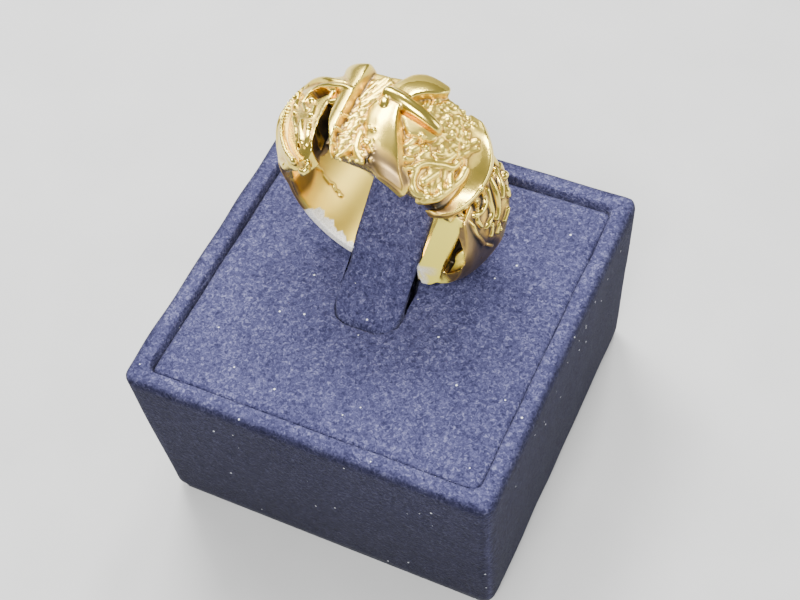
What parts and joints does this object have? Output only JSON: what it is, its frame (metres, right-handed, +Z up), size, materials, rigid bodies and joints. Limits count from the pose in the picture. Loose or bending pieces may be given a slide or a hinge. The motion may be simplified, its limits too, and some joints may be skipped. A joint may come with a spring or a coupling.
{
  "type": "gold saddle ring on a suede display stand",
  "caption": "Wide cast gold ring with saddles and scrolls in relief, held upright by the slanting clip of a small square suede-covered display stand.",
  "frame": {"origin": "middle of the stand's underside, where it rests on the table", "axes": "+Z up; +Y from the stand's front edge, in front of the clip's nose, towards the back, along the ring's finger hole; +X to the right seen from that front edge"},
  "size_m": [0.05, 0.05, 0.0542],
  "materials": {
    "gold": "polished cast gold, orange brown in the hollows",
    "suede": "short navy blue nap",
    "card": "matt black board"
  },
  "bodies": {
    "root": {"ring": "gold", "stand_block": "suede", "stand_pad": "suede", "ring_clip": "suede", "base_card": "card"}
  },
  "joints": []
}
